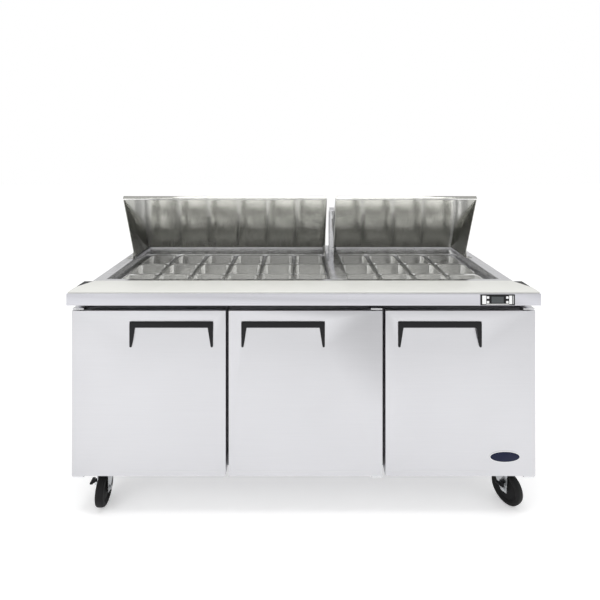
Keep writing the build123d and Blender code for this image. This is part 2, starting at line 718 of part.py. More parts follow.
# ---- cold compartment ----
evaporator_z = 590
with BuildPart() as evaporator_coil:
    block((-260, 260), (590, LINER_BACK), (evaporator_z - 60, evaporator_z + 60))
    with Locations((0, back(592), evaporator_z)):
        with GridLocations(14, 1, 35, 1):
            Box(5, 8, 100, mode=Mode.SUBTRACT)
    rod_y(0, (560, 592), evaporator_z, 62)
    rod_y(0, (555, 590), evaporator_z, 58, Mode.SUBTRACT)
    rod_y(0, (562, 590), evaporator_z, 4)
save(evaporator_coil.part, "evaporator_coil")
fan_blades("evaporator_fan", (0, 572, evaporator_z), 52, 14, 14, 4, 4)

pilaster_size = 12
clip_height = 4
with BuildPart() as shelf_pilasters:
    for d in (case_front + 46, LINER_BACK - pilaster_size / 2):
        for x in (6 - LINER_HALF, MULLIONS[0], MULLIONS[1], LINER_HALF - 6):
            reach = pilaster_size / 2
            block((x - reach, x + reach), (d - reach, d + reach), (LINER_FLOOR, 500))
            tab = (max(x - 22, -LINER_HALF), min(x + 22, LINER_HALF))
            block(tab, (d - reach, d + reach), (SHELF_HEIGHT - clip_height, SHELF_HEIGHT))
save(shelf_pilasters.part, "shelf_pilasters")

wire = 5
shelf_ds = (138, 636)
bays = (
    (-LINER_HALF + 14, MULLIONS[0] - 8),
    (MULLIONS[0] + 8, MULLIONS[1] - 8),
    (MULLIONS[1] + 8, LINER_HALF - 14),
)
with BuildPart() as wire_shelves:
    for bay in bays:
        middle = (bay[0] + bay[1]) / 2
        width = bay[1] - bay[0]
        for d in (shelf_ds[0], (shelf_ds[0] + shelf_ds[1] - wire) / 2, shelf_ds[1] - wire):
            block(bay, (d, d + wire), (SHELF_HEIGHT, SHELF_HEIGHT + wire))
        count = int(width // 26)
        with Locations((middle, back((shelf_ds[0] + shelf_ds[1]) / 2), SHELF_HEIGHT + wire)):
            with GridLocations((width - wire) / (count - 1), 1, count, 1):
                Box(wire, shelf_ds[1] - shelf_ds[0], wire)
save(wire_shelves.part, "wire_shelves")

# ---- screws ----
head = 4.5
with BuildPart() as screws:
    for x in (-880, -440, 0, 440, 880):
        for z in (grille_low + 12, grille_high - 12):
            rod_y(x, (CASE_BACK + SHEET, CASE_BACK + SHEET + 1.8), z, head)
    for d in (pivot_d - 45, pivot_d - 22, LID_TAIL[0] - 95, LID_TAIL[0] - 45):
        rod_z(post_xs[0] - 5, d, (bridge_top + 3, bridge_top + 5), head - 1)
    for name in DOOR_SPANS:
        x = hinge_x(name) - HINGE_SIDES[name] * 14
        for dd in (20, 38):
            rod_z(x, FACE_BACK + dd, (CASE_FLOOR - 8, CASE_FLOOR - 6), head)
    for x in (LID_SPANS["left"][0] - HOOD_GAP - 22, LID_SPANS["right"][1] + HOOD_GAP + 24):
        for dd in (-8, 8):
            rod_z(x, pivot_d + dd, (TOP_LEVEL + 3, TOP_LEVEL + 5), head - 1)
save(screws.part, "screws")
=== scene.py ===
import json
import math

import bpy
from mathutils import Matrix, Vector


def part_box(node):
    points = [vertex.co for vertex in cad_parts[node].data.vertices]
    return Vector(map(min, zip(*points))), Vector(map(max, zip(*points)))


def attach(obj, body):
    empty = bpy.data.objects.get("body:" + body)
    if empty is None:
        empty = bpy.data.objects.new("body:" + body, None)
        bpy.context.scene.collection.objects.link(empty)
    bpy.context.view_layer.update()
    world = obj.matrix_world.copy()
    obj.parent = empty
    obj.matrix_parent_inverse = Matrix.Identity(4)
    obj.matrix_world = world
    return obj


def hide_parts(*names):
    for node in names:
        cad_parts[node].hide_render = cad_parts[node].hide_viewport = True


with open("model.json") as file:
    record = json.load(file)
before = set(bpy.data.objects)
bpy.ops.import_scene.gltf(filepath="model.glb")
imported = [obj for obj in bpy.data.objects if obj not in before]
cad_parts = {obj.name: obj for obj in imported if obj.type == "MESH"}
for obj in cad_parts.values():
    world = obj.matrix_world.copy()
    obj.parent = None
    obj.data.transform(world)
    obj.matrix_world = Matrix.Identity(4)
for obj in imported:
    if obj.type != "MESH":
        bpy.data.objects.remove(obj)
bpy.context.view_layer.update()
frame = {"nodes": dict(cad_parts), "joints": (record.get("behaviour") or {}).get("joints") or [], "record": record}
bodyOf = {node: body for body, nodes in frame["record"]["behaviour"]["bodies"].items() for node in nodes}
slotOf = {entry["node"]: entry["material_slot"] for entry in frame["record"]["subparts"]}
joints = {joint["name"]: joint for joint in frame["joints"]}
print("frame loaded:", len(frame["nodes"]), "nodes")


# small helpers
def hexColour(text):
    channels = [int(text[i : i + 2], 16) / 255 for i in (1, 3, 5)]
    linear = [c / 12.92 if c <= 0.04045 else ((c + 0.055) / 1.055) ** 2.4 for c in channels]
    return (*linear, 1.0)


def addNode(material, kind, values=None, links=None):
    node = material.node_tree.nodes.new(kind)
    for name, value in (values or {}).items():
        if isinstance(name, str) and hasattr(node, name):
            setattr(node, name, value)
        else:
            node.inputs[name].default_value = value
    for name, source in (links or {}).items():
        material.node_tree.links.new(source, node.inputs[name])
    return node


def deselectAll():
    if bpy.context.object and bpy.context.object.mode != "OBJECT":
        bpy.ops.object.mode_set(mode="OBJECT")
    bpy.ops.object.select_all(action="DESELECT")


def activate(piece):
    deselectAll()
    piece.select_set(True)
    bpy.context.view_layer.objects.active = piece


def pickFaces(piece, test):
    # leaves the piece in edit mode with only the faces that pass the test selected
    activate(piece)
    bpy.ops.object.mode_set(mode="EDIT")
    bpy.ops.mesh.select_mode(type="FACE")
    bpy.ops.mesh.select_all(action="DESELECT")
    bpy.ops.object.mode_set(mode="OBJECT")
    for face in piece.data.polygons:
        face.select = test(face.center, face.normal)
    bpy.ops.object.mode_set(mode="EDIT")


def pickEdges(piece, test):
    # the same for edges; the test gets the two ends
    activate(piece)
    bpy.ops.object.mode_set(mode="EDIT")
    bpy.ops.mesh.select_mode(type="EDGE")
    bpy.ops.mesh.select_all(action="DESELECT")
    bpy.ops.object.mode_set(mode="OBJECT")
    points = piece.data.vertices
    for edge in piece.data.edges:
        edge.select = test(points[edge.vertices[0]].co, points[edge.vertices[1]].co)
    bpy.ops.object.mode_set(mode="EDIT")


def applyModifier(piece, kind, **settings):
    activate(piece)
    modifier = piece.modifiers.new(kind.title(), kind)
    for name, value in settings.items():
        setattr(modifier, name, value)
    bpy.ops.object.modifier_apply(modifier=modifier.name)


def settle(piece):
    # the object's own place goes into its mesh
    activate(piece)
    bpy.ops.object.transform_apply(location=True, rotation=True, scale=True)


def smoothByAngle(piece, degrees=35):
    activate(piece)
    bpy.ops.object.shade_smooth_by_angle(angle=math.radians(degrees))


def cubeAt(name, low, high):
    deselectAll()
    centre = [(a + b) / 2 for a, b in zip(low, high)]
    bpy.ops.mesh.primitive_cube_add(size=1, location=centre)
    piece = bpy.context.object
    piece.name = name
    piece.scale = [b - a for a, b in zip(low, high)]
    settle(piece)
    return piece


def tubeAt(name, start, end, radius, sides=24):
    # a round bar from start to end
    deselectAll()
    start, end = Vector(start), Vector(end)
    line = end - start
    bpy.ops.mesh.primitive_cylinder_add(vertices=sides, radius=radius, depth=line.length)
    piece = bpy.context.object
    piece.name = name
    turn = line.to_track_quat("Z", "Y").to_matrix().to_4x4()
    piece.matrix_world = Matrix.Translation((start + end) / 2) @ turn
    settle(piece)
    return piece


def spinProfile(name, points, place, axis, steps=48):
    # points are (radius, along) pairs of a closed outline, turned about the axis through place
    deselectAll()
    mesh = bpy.data.meshes.new(name)
    corners = [(radius, 0, along) for radius, along in points]
    closing = [(i, (i + 1) % len(corners)) for i in range(len(corners))]
    mesh.from_pydata(corners, closing, [])
    piece = bpy.data.objects.new(name, mesh)
    bpy.context.scene.collection.objects.link(piece)
    activate(piece)
    bpy.ops.object.mode_set(mode="EDIT")
    bpy.ops.mesh.select_all(action="SELECT")
    bpy.ops.mesh.spin(steps=steps, angle=2 * math.pi, center=(0, 0, 0), axis=(0, 0, 1))
    bpy.ops.mesh.select_all(action="SELECT")
    bpy.ops.mesh.remove_doubles(threshold=0.00002)
    bpy.ops.mesh.normals_make_consistent(inside=False)
    bpy.ops.object.mode_set(mode="OBJECT")
    turn = Vector(axis).to_track_quat("Z", "Y").to_matrix().to_4x4()
    piece.matrix_world = Matrix.Translation(place) @ turn
    settle(piece)
    return piece


def dress(piece, body, material, smooth=35):
    piece.data.materials.clear()
    piece.data.materials.append(material)
    if smooth:
        smoothByAngle(piece, smooth)
    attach(piece, body)
    return piece


def joinPieces(pieces, name):
    activate(pieces[0])
    for piece in pieces:
        piece.select_set(True)
    if len(pieces) > 1:
        bpy.ops.object.join()
    pieces[0].name = name
    return pieces[0]


def copyPiece(piece, name, shift=(0, 0, 0)):
    twin = piece.copy()
    twin.data = piece.data.copy()
    twin.name = name
    bpy.context.scene.collection.objects.link(twin)
    twin.data.transform(Matrix.Translation(shift))
    return twin


# materials
# hex colours are sRGB
hazeSize = 0.26  # metres


def brushedSteel(name, colour, roughness, spread, stretch, bump=0.02, smear=(0, 0, 1), pull=0.35, metal=1.0):
    # 304 sheet with a No. 4 brushed face: fine straight scratches and a faint handling haze;
    # reflections are drawn out along smear, which lies across the scratches
    material = bpy.data.materials.new(name)
    material.use_nodes = True
    shader = material.node_tree.nodes["Principled BSDF"]
    shader.inputs["Metallic"].default_value = metal
    shader.inputs["Anisotropic"].default_value = pull
    drawn = addNode(material, "ShaderNodeCombineXYZ", {"X": smear[0], "Y": smear[1], "Z": smear[2]})
    material.node_tree.links.new(drawn.outputs["Vector"], shader.inputs["Tangent"])
    place = addNode(material, "ShaderNodeTexCoord")
    stretched = addNode(
        material, "ShaderNodeMapping", {"Scale": stretch}, {"Vector": place.outputs["Object"]}
    )
    scratches = addNode(
        material, "ShaderNodeTexNoise", {"Scale": 1.0, "Detail": 3.0, "Roughness": 0.6},
        {"Vector": stretched.outputs["Vector"]},
    )
    haze = addNode(
        material, "ShaderNodeTexNoise", {"Scale": 1 / hazeSize, "Detail": 2.0},
        {"Vector": place.outputs["Object"]},
    )
    mixed = addNode(
        material, "ShaderNodeMath", {"operation": "ADD"},
        {0: scratches.outputs["Fac"], 1: haze.outputs["Fac"]},
    )
    rough = addNode(
        material, "ShaderNodeMapRange",
        {"From Min": 0.7, "From Max": 1.3, "To Min": roughness - spread, "To Max": roughness + spread},
        {"Value": mixed.outputs["Value"]},
    )
    material.node_tree.links.new(rough.outputs["Result"], shader.inputs["Roughness"])
    tint = addNode(
        material, "ShaderNodeMix",
        {"data_type": "RGBA", 6: hexColour(colour[0]), 7: hexColour(colour[1])},
        {0: scratches.outputs["Fac"]},
    )
    material.node_tree.links.new(tint.outputs[2], shader.inputs["Base Color"])
    relief = addNode(
        material, "ShaderNodeBump", {"Strength": bump, "Distance": 0.0004},
        {"Height": scratches.outputs["Fac"]},
    )
    material.node_tree.links.new(relief.outputs["Normal"], shader.inputs["Normal"])
    return material


def solidFinish(name, colours, roughness, grain, bump, depth, **sockets):
    # moulded, painted or rubber surface: two close tones mottled over the piece,
    # and relief at the grain size, which is in millimetres
    material = bpy.data.materials.new(name)
    material.use_nodes = True
    shader = material.node_tree.nodes["Principled BSDF"]
    for socket, value in sockets.items():
        shader.inputs[socket.replace("_", " ")].default_value = value
    place = addNode(material, "ShaderNodeTexCoord")
    speckle = addNode(
        material, "ShaderNodeTexNoise", {"Scale": 1000 / grain, "Detail": 4.0},
        {"Vector": place.outputs["Object"]},
    )
    wear = addNode(
        material, "ShaderNodeTexNoise", {"Scale": 9.0, "Detail": 3.0},
        {"Vector": place.outputs["Object"]},
    )
    tone = addNode(
        material, "ShaderNodeMix",
        {"data_type": "RGBA", 6: hexColour(colours[0]), 7: hexColour(colours[1])},
        {0: wear.outputs["Fac"]},
    )
    rough = addNode(
        material, "ShaderNodeMapRange",
        {"From Min": 0.3, "From Max": 0.7, "To Min": roughness - 0.06, "To Max": roughness + 0.06},
        {"Value": wear.outputs["Fac"]},
    )
    relief = addNode(
        material, "ShaderNodeBump", {"Strength": bump, "Distance": depth},
        {"Height": speckle.outputs["Fac"]},
    )
    material.node_tree.links.new(tone.outputs[2], shader.inputs["Base Color"])
    material.node_tree.links.new(rough.outputs["Result"], shader.inputs["Roughness"])
    material.node_tree.links.new(relief.outputs["Normal"], shader.inputs["Normal"])
    return material


across = (6, 900, 900)
doorSteel = brushedSteel("brushedSteelDoor", ("#c8c8cb", "#d2d2d5"), 0.36, 0.05, across)
apronSteel = brushedSteel("brushedSteelApron", ("#c2c2c8", "#cdcdd2"), 0.30, 0.05, across)
topSteel = brushedSteel("brushedSteelTop", ("#cfcfd1", "#dadadc"), 0.26, 0.05, across, 0.02, (0, 1, 0.2))
lidSteel = brushedSteel("polishedSteelLid", ("#b0b0ab", "#bbbbb6"), 0.22, 0.03, across, 0.08, (0, 0, 1), 1.0)
panSteel = brushedSteel(
    "polishedSteelPan", ("#ececea", "#f4f4f2"), 0.17, 0.04, (60, 60, 60), 0.02, (0, 1, 0.2), 0.0, 0.82
)
# the front frame is stainless steel; its dark colour is painted shade for where it shows in the shadowed gaps
# around the doors and under the apron
frameSteel = brushedSteel("frameSteelInShade", ("#6a6a6c", "#767678"), 0.42, 0.05, across)
caseSteel = brushedSteel("brushedSteelCase", ("#bfbfc2", "#cacacc"), 0.36, 0.06, across)
linerMetal = brushedSteel("embossedAluminium", ("#cfd0d1", "#dbdcdd"), 0.42, 0.06, (90, 90, 90), 0.1)
zincPlate = brushedSteel("zincPlatedSteel", ("#b9bbbd", "#c9cbcd"), 0.28, 0.08, (120, 120, 120))
boardPlastic = solidFinish(
    "sawnPolyethylene", ("#cfcfca", "#d6d6d2"), 0.42, 2.2, 0.10, 0.0004
)
blackPlastic = solidFinish(
    "mouldedBlackPlastic", ("#0c0c0f", "#131316"), 0.46, 0.9, 0.25, 0.0003, Specular_IOR_Level=0.25
)
rubberTread = solidFinish(
    "blackRubberTread", ("#0b0b0c", "#131314"), 0.66, 1.6, 0.3, 0.0004, Specular_IOR_Level=0.25
)
gasketVinyl = solidFinish("greyVinylGasket", ("#6c6e70", "#7a7c7e"), 0.55, 1.2, 0.15, 0.0003)
whitePlastic = solidFinish("glossWhiteLiner", ("#e9eaea", "#f3f4f4"), 0.22, 3.0, 0.04, 0.0003)
foamLook = solidFinish("rigidFoam", ("#d9cfa3", "#e6ddb8"), 0.9, 2.0, 0.6, 0.001)
badgePlastic = solidFinish(
    "navyDomedPlastic", ("#08102c", "#0c1636"), 0.30, 4.0, 0.02, 0.0002, Specular_IOR_Level=0.2
)
blackPaint = solidFinish("glossBlackPaint", ("#101011", "#1a1a1c"), 0.26, 2.5, 0.12, 0.0003, Coat_Weight=0.3)
windowGlass = solidFinish("smokedDisplay", ("#1a2225", "#232d30"), 0.10, 5.0, 0.02, 0.0002, Coat_Weight=0.8)
coatedWire = solidFinish("epoxyCoatedWire", ("#dfe0dc", "#eceee9"), 0.30, 1.5, 0.15, 0.0003)
copperTube = brushedSteel("copperTube", ("#b87350", "#c98661"), 0.25, 0.06, (80, 80, 80))
slotLooks = {
    "stainless": topSteel,
    "liner_metal": linerMetal,
    "foam": foamLook,
    "white_board": boardPlastic,
    "black_plastic": blackPlastic,
    "white_plastic": whitePlastic,
    "rubber": rubberTread,
    "gasket": gasketVinyl,
    "badge": badgePlastic,
    "painted_black": blackPaint,
    "zinc": zincPlate,
    "window": windowGlass,
    "wire": coatedWire,
}
ownLooks = {
    "outer_casing": caseSteel,
    "rear_grille": caseSteel,
    "front_apron": apronSteel,
    "rear_hoods": caseSteel,
    "air_duct": panSteel,
    "front_frame": frameSteel,
}


def lookOf(node):
    for start, look in (("door_skin", doorSteel), ("lid_", lidSteel), ("food_pans", panSteel)):
        if node.startswith(start):
            return look
    return ownLooks.get(node, slotLooks[slotOf[node]])


for node, piece in frame["nodes"].items():
    piece.data.materials.clear()
    piece.data.materials.append(lookOf(node))
print("materials made")


# CAD pieces that keep their shape but get the folded or moulded edge of the real one
edgeRadius = {  # metres
    "worktop": 0.0012,
    "front_apron": 0.0014,
    "centre_bridge": 0.0012,
    "air_duct": 0.0006,
    "pan_bars": 0.0006,
    "outer_casing": 0.0008,
    "front_frame": 0.0008,
    "rear_hoods": 0.0008,
    "hood_centre_post": 0.0010,
    "lid_left": 0.0011,
    "lid_right": 0.0011,
    "board_brackets": 0.0010,
    "door_hinge_brackets": 0.0010,
    "controller_body": 0.0008,
    "button_up": 0.0008,
    "button_down": 0.0008,
    "button_set": 0.0008,
    "button_light": 0.0008,
    "door_skin_left": 0.0014,
    "door_skin_middle": 0.0014,
    "door_skin_right": 0.0014,
    "brake_lever_front_left": 0.0020,
    "brake_lever_front_right": 0.0020,
    "door_gasket_left": 0.0030,
    "door_gasket_middle": 0.0030,
    "door_gasket_right": 0.0030,
    "door_core_left": 0.0020,
    "door_core_middle": 0.0020,
    "door_core_right": 0.0020,
    "cutting_board": 0.0008,
    "lid_pivots": 0.0006,
}


def softenNode(node, radius):
    # a merged copy of the node, its flat faces made whole and its edges rolled over
    source = frame["nodes"][node]
    piece = bpy.data.objects.new(node + "_formed", source.data.copy())
    bpy.context.scene.collection.objects.link(piece)
    activate(piece)
    bpy.ops.object.mode_set(mode="EDIT")
    bpy.ops.mesh.select_all(action="SELECT")
    bpy.ops.mesh.remove_doubles(threshold=0.00001)
    bpy.ops.mesh.dissolve_limited(angle_limit=math.radians(1))
    bpy.ops.object.mode_set(mode="OBJECT")
    applyModifier(
        piece, "BEVEL", width=radius, segments=2, limit_method="ANGLE",
        angle_limit=math.radians(40), use_clamp_overlap=True,
    )
    dress(piece, bodyOf[node], lookOf(node))
    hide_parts(node)
    return piece


for node, radius in edgeRadius.items():
    softenNode(node, radius)
print("edges formed")


# food pans
panShape = {  # metres
    "pitchAcross": 0.163,
    "pitchBack": 0.176,
    "body": (0.138, 0.158),
    "rim": (0.154, 0.174),
    "depth": 0.098,
    "taper": 0.0085,
    "cornerRound": 0.022,
    "floorRound": 0.012,
    "sheet": 0.0012,
    "lipDrop": 0.0035,
    "banks": {"left": 6, "right": 4},
    "rows": 3,
}


def formPan():
    shape = panShape
    w, d = shape["body"]
    pan = cubeAt("panPattern", (-w / 2, -d / 2, -shape["depth"]), (w / 2, d / 2, 0))
    pickFaces(pan, lambda centre, normal: normal.z < -0.5)
    bpy.ops.transform.resize(value=(1 - 2 * shape["taper"] / w, 1 - 2 * shape["taper"] / d, 1))
    pickEdges(pan, lambda a, b: abs(a.z - b.z) > 0.05)
    bpy.ops.mesh.bevel(offset=shape["cornerRound"], segments=6, affect="EDGES", clamp_overlap=True)
    pickFaces(pan, lambda centre, normal: normal.z > 0.5)
    bpy.ops.mesh.delete(type="ONLY_FACE")
    pickEdges(pan, lambda a, b: max(a.z, b.z) < -shape["depth"] + 0.001)
    bpy.ops.mesh.bevel(offset=shape["floorRound"], segments=4, affect="EDGES", clamp_overlap=True)
    pickEdges(pan, lambda a, b: min(a.z, b.z) > -0.0001)
    bpy.ops.mesh.bevel(offset=0.0001, segments=1, affect="EDGES")
    pickEdges(pan, lambda a, b: min(a.z, b.z) > -0.00001)
    growth = (shape["rim"][0] / w, shape["rim"][1] / d, 1)
    bpy.ops.mesh.extrude_region_move()
    bpy.ops.transform.resize(value=(1 + (growth[0] - 1) * 0.35, 1 + (growth[1] - 1) * 0.35, 1))
    bpy.ops.transform.translate(value=(0, 0, 0.0016))
    bpy.ops.mesh.extrude_region_move()
    bpy.ops.transform.resize(value=(1 + (growth[0] - 1) * 0.55, 1 + (growth[1] - 1) * 0.55, 1))
    bpy.ops.mesh.extrude_region_move()
    bpy.ops.transform.resize(value=(1.004, 1.004, 1))
    bpy.ops.transform.translate(value=(0, 0, -shape["lipDrop"] * 0.6))
    bpy.ops.mesh.select_all(action="SELECT")
    bpy.ops.mesh.remove_doubles(threshold=0.00005)
    bpy.ops.mesh.normals_make_consistent(inside=False)
    bpy.ops.object.mode_set(mode="OBJECT")
    applyModifier(pan, "SOLIDIFY", thickness=shape["sheet"], offset=0)
    return pan


pattern = formPan()
for bank, columns in panShape["banks"].items():
    node = "food_pans_" + bank
    low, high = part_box(node)
    firstX = low.x + panShape["rim"][0] / 2
    firstY = low.y + panShape["rim"][1] / 2
    for column in range(columns):
        for row in range(panShape["rows"]):
            place = (
                firstX + column * panShape["pitchAcross"],
                firstY + row * panShape["pitchBack"],
                high.z - 0.0020,
            )
            name = "pan_" + bank + "_" + str(column + 1) + "_" + str(row + 1)
            pan = copyPiece(pattern, name, place)
            dress(pan, "pans_" + bank, panSteel, 50)
            if column == 0 and row == 0:
                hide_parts(node)
bpy.data.objects.remove(pattern)
print("pans made")


# door handles
handleShape = {  # metres
    "width": 0.330,
    "height": 0.102,
    "bar": 0.0245,
    "legFoot": 0.0095,
    "legTop": 0.021,
    "corner": 0.009,
    "proud": 0.003,
    "depth": 0.009,
    "edge": 0.0015,
}


def arcPoints(centre, radius, start, end, steps=6):
    angles = [math.radians(start + (end - start) * i / steps) for i in range(steps + 1)]
    return [(centre[0] + radius * math.cos(a), centre[1] + radius * math.sin(a)) for a in angles]


def outlineSolid(name, ring, sweep):
    # a closed solid that sweeps the flat ring of corners along one straight line
    deselectAll()
    mesh = bpy.data.meshes.new(name)
    mesh.from_pydata(ring, [], [list(range(len(ring)))])
    solid = bpy.data.objects.new(name, mesh)
    bpy.context.scene.collection.objects.link(solid)
    activate(solid)
    bpy.ops.object.mode_set(mode="EDIT")
    bpy.ops.mesh.select_all(action="SELECT")
    bpy.ops.mesh.extrude_region_move(TRANSFORM_OT_translate={"value": sweep})
    bpy.ops.mesh.select_all(action="SELECT")
    bpy.ops.mesh.normals_make_consistent(inside=False)
    bpy.ops.object.mode_set(mode="OBJECT")
    return solid


def plateOnFront(name, outline, frontY, thickness, edge):
    # a flat plate that faces the front, its outline in X and Z
    plate = outlineSolid(name, [(x, frontY, z) for x, z in outline], (0, thickness, 0))
    applyModifier(
        plate, "BEVEL", width=edge, segments=3, limit_method="ANGLE", angle_limit=math.radians(40)
    )
    return plate


def handleOutline(x, z):
    shape = handleShape
    w, h, r = shape["width"], shape["height"], shape["corner"]
    foot = shape["legFoot"] / 2
    points = arcPoints((x + foot, z + foot), foot, 180, 360)
    points += [(x + shape["legTop"], z + h - shape["bar"]), (x + w - shape["legTop"], z + h - shape["bar"])]
    points += arcPoints((x + w - foot, z + foot), foot, 180, 360)
    points += arcPoints((x + w - r, z + h - r), r, 0, 90)
    points += arcPoints((x + r, z + h - r), r, 90, 180)
    return points


for door in ("left", "middle", "right"):
    node = "door_handle_" + door
    low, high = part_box(node)
    shape = handleShape
    outline = handleOutline(low.x, low.z)
    trim = plateOnFront("handle_trim_" + door, outline, low.y, shape["depth"], shape["edge"])
    hood = cubeAt(
        "handle_hood_" + door,
        (low.x + 0.002, low.y + 0.004, high.z - 0.010),
        (high.x - 0.002, high.y - 0.001, high.z - 0.002),
    )
    applyModifier(hood, "BEVEL", width=0.001, segments=2)
    handle = joinPieces([trim, hood], "handle_" + door)
    dress(handle, "door_" + door, blackPlastic, 40)
    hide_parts(node)
print("handles made")


# casters
wheelProfile = [  # radius and distance along the axle, metres
    (0.0052, -0.0183), (0.0130, -0.0183), (0.0140, -0.0173), (0.0150, -0.0120), (0.0390, -0.0090),
    (0.0440, -0.0100), (0.0480, -0.0148), (0.0500, -0.0158), (0.0560, -0.0160), (0.0600, -0.0148),
    (0.0624, -0.0118), (0.0633, -0.0070), (0.0635, 0.0),
]
wheelProfile += [(radius, -along) for radius, along in reversed(wheelProfile[:-1])]
casterFittings = {  # metres
    "forkReach": 0.0225,
    "washer": (0.0095, 0.0015),
    "nut": (0.0075, 0.0050),
    "boltSpread": (0.034, 0.038),
    "plate": 0.004,
    "bolt": (0.0075, 0.006),
}
for corner in ("front_left", "front_right", "rear_left", "rear_right"):
    joint = joints["wheel_" + corner]
    hub = Vector(joint["pos_m"])
    axle = Vector(joint["axis"])
    wheel = spinProfile("wheel_tyre_" + corner, wheelProfile, hub, axle)
    dress(wheel, "wheel_" + corner, rubberTread, 50)
    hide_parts("caster_wheel_" + corner)
    ends = []
    for side in (-1, 1):
        outward = axle * side
        face = hub + outward * casterFittings["forkReach"]
        washerRadius, washerThick = casterFittings["washer"]
        nutRadius, nutThick = casterFittings["nut"]
        seat = face + outward * washerThick
        washer = tubeAt("washer", face, seat, washerRadius, 24)
        nut = tubeAt("nut", seat, seat + outward * nutThick, nutRadius, 6)
        ends += [washer, nut]
    axleEnds = joinPieces(ends, "axle_nuts_" + corner)
    dress(axleEnds, "fork_" + corner, zincPlate, 30)
    fork = softenNode("caster_fork_" + corner, 0.0009)
    fork.data.materials[0] = zincPlate
    swivel = Vector(joints["swivel_" + corner]["pos_m"])
    plateLow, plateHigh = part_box("caster_plates")
    bolts = []
    spreadX, spreadY = casterFittings["boltSpread"]
    boltRadius, boltHead = casterFittings["bolt"]
    for dx in (-spreadX, spreadX):
        for dy in (-spreadY, spreadY):
            seat = Vector((swivel.x + dx, swivel.y + dy, plateHigh.z - casterFittings["plate"]))
            bolts.append(tubeAt("bolt", seat, seat - Vector((0, 0, boltHead)), boltRadius, 6))
    boltSet = joinPieces(bolts, "plate_bolts_" + corner)
    dress(boltSet, "cabinet", zincPlate, 30)
frame["nodes"]["caster_plates"].data.materials[0] = zincPlate
print("casters made")


# controller face
controlLow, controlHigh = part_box("controller_body")
faceY = controlLow.y
midX = (controlLow.x + controlHigh.x) / 2
midZ = (controlLow.z + controlHigh.z) / 2
faceParts = {  # X range and Z range from the middle of the face, metres
    "control_label_left": ((-0.0605, -0.0450), (-0.0165, 0.0165), whitePlastic),
    "control_label_right": ((0.0440, 0.0560), (-0.0165, 0.0165), whitePlastic),
    "control_strip": ((-0.0445, 0.0435), (-0.0180, -0.0155), whitePlastic),
    "control_strip_end": ((0.0600, 0.0615), (-0.0165, 0.0165), whitePlastic),
}
for name, (xs, zs, look) in faceParts.items():
    part = cubeAt(
        name, (midX + xs[0], faceY - 0.0006, midZ + zs[0]), (midX + xs[1], faceY + 0.0004, midZ + zs[1])
    )
    applyModifier(part, "BEVEL", width=0.0003, segments=2)
    dress(part, "cabinet", look)

# badge with its bright rim
badgeLow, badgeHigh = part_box("door_badge")
badgeCentre = ((badgeLow.x + badgeHigh.x) / 2, (badgeLow.z + badgeHigh.z) / 2)
badgeSize = ((badgeHigh.x - badgeLow.x) / 2, (badgeHigh.z - badgeLow.z) / 2)


def ellipseOutline(shrink, steps=64):
    angles = [2 * math.pi * i / steps for i in range(steps)]
    return [
        (
            badgeCentre[0] + (badgeSize[0] - shrink) * math.cos(a),
            badgeCentre[1] + (badgeSize[1] - shrink) * math.sin(a),
        )
        for a in angles
    ]


rim = plateOnFront("badge_rim", ellipseOutline(0), badgeLow.y + 0.0008, 0.0017, 0.0004)
dress(rim, "door_right", whitePlastic)
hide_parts("door_badge")
dome = plateOnFront("badge_dome", ellipseOutline(0.0022), badgeLow.y, 0.0022, 0.0006)
dress(dome, "door_right", badgePlastic)
print("controller and badge made")


# wire shelves
shelfShape = {  # metres
    "wire": 0.0022,
    "rod": 0.0032,
    "pitch": 0.0255,
    "rods": 3,
    "posts": (-0.302, 0.318),
    "postGap": 0.008,
}
shelfLow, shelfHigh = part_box("wire_shelves")
firstPost, secondPost = shelfShape["posts"]
gap = shelfShape["postGap"]
bays = [
    (shelfLow.x, firstPost - gap),
    (firstPost + gap, secondPost - gap),
    (secondPost + gap, shelfHigh.x),
]
for number, (start, end) in enumerate(bays):
    parts = []
    r = shelfShape["rod"]
    for i in range(shelfShape["rods"]):
        y = shelfLow.y + r + (shelfHigh.y - shelfLow.y - 2 * r) * i / (shelfShape["rods"] - 1)
        parts.append(tubeAt("rod", (start, y, shelfLow.z + r), (end, y, shelfLow.z + r), r, 12))
    count = int((end - start) / shelfShape["pitch"])
    wireZ = shelfLow.z + 2 * r + shelfShape["wire"] * 0.8
    for i in range(count + 1):
        x = start + 0.003 + (end - start - 0.006) * i / count
        parts.append(tubeAt("wire", (x, shelfLow.y, wireZ), (x, shelfHigh.y, wireZ), shelfShape["wire"], 8))
    shelf = joinPieces(parts, "wire_shelf_" + str(number + 1))
    dress(shelf, "cabinet", coatedWire, 60)
    if number == 0:
        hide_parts("wire_shelves")
print("shelves made")


# louvres of the rear panel
grilleLow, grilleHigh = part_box("rear_grille")
louvre = {  # metres
    "banks": (-0.42, 0.42),
    "length": 0.180,
    "pitch": 0.030,
    "rows": 12,
    "columns": 3,
    "step": 0.210,
    "inside": 0.006,
    "proud": 0.001,
    "rise": (0.0035, 0.0047),
    "droop": 0.005,
}
fins = []
for centreX in louvre["banks"]:
    for column in range(louvre["columns"]):
        for row in range(louvre["rows"]):
            x = centreX + (column - 1) * louvre["step"]
            z = (grilleLow.z + grilleHigh.z) / 2 + (row - (louvre["rows"] - 1) / 2) * louvre["pitch"]
            half = louvre["length"] / 2
            fin = cubeAt(
                "fin",
                (x - half, grilleHigh.y - louvre["inside"], z + louvre["rise"][0]),
                (x + half, grilleHigh.y + louvre["proud"], z + louvre["rise"][1]),
            )
            pickFaces(fin, lambda centre, normal: normal.y > 0.5)
            bpy.ops.transform.translate(value=(0, 0, -louvre["droop"]))
            bpy.ops.object.mode_set(mode="OBJECT")
            fins.append(fin)
louvres = joinPieces(fins, "rear_louvres")
dress(louvres, "cabinet", caseSteel, 30)
print("louvres made")


# folded hem along the free edge of each lid
hem = {"reach": 0.009, "thick": 0.0009, "edge": 0.0003, "panel": 0.014, "inset": 0.0015, "bite": 0.0002}


